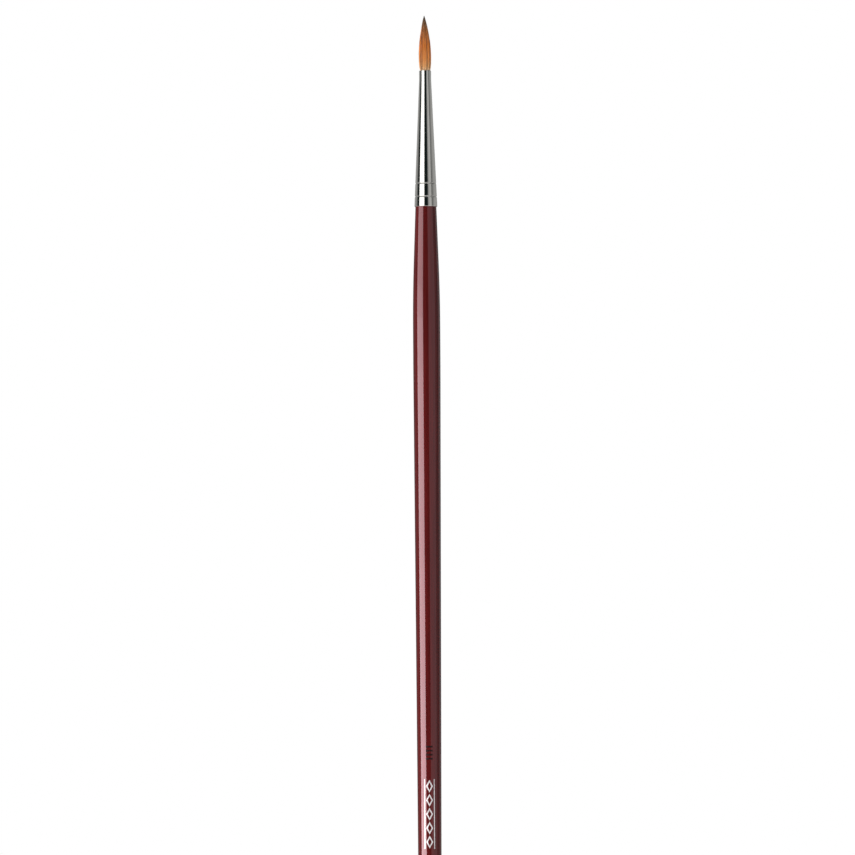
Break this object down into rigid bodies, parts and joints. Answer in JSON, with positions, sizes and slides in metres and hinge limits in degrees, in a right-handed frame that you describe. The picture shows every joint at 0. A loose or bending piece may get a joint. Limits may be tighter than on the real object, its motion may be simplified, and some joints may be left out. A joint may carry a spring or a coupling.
{
  "type": "fine detail paint brush",
  "caption": "Round pointed artist's brush with a springy natural hair tuft in a long tapered metal ferrule, crimped to a slim turned and lacquered wooden handle.",
  "frame": {"origin": "centre of the rounded butt of the handle, where the axis leaves it", "axes": "+Z along the axis from the butt to the point of the hair; -Y is the side with the stamped marks"},
  "size_m": [0.0068, 0.0068, 0.3],
  "materials": {
    "wood": "bare turned hardwood",
    "lacquer": "high-gloss mahogany-red lacquer",
    "nickel": "bright nickel plate on drawn brass",
    "adhesive": "dried wood glue film",
    "resin": "hard amber resin",
    "thread": "waxed white thread",
    "hair": "red-brown natural hair, satin",
    "hair_tip": "dark brown natural hair points, satin",
    "dark_ink": "dark stamped foil",
    "silver_foil": "silver stamped foil"
  },
  "bodies": {
    "root": {"handle_core": "wood", "handle_lacquer": "lacquer", "ferrule": "nickel", "tenon_adhesive": "adhesive", "root_adhesive": "resin", "binding_thread": "thread", "hair_root": "hair", "size_bars": "dark_ink", "foil_lozenges": "silver_foil", "foil_lines": "silver_foil"},
    "lower_belly": {"hair_lower_belly": "hair"},
    "upper_belly": {"hair_upper_belly": "hair"},
    "shoulder": {"hair_shoulder": "hair"},
    "point": {"hair_point": "hair_tip"}
  },
  "joints": [
    {"name": "lower_side_bend", "type": "hinge", "parent": "root", "child": "lower_belly", "pos_m": [0, 0, 0.2882], "axis": [0, 1, 0], "range_deg": [-30, 30], "stiffness_Nm_per_rad": 0.0012},
    {"name": "lower_front_bend", "type": "hinge", "parent": "lower_belly", "child": "upper_belly", "pos_m": [0, 0, 0.291], "axis": [1, 0, 0], "range_deg": [-30, 30], "stiffness_Nm_per_rad": 0.001},
    {"name": "upper_side_bend", "type": "hinge", "parent": "upper_belly", "child": "shoulder", "pos_m": [0, 0, 0.2938], "axis": [0, 1, 0], "range_deg": [-30, 30], "stiffness_Nm_per_rad": 0.0006},
    {"name": "upper_front_bend", "type": "hinge", "parent": "shoulder", "child": "point", "pos_m": [0, 0, 0.2966], "axis": [1, 0, 0], "range_deg": [-30, 30], "stiffness_Nm_per_rad": 0.0003}
  ]
}
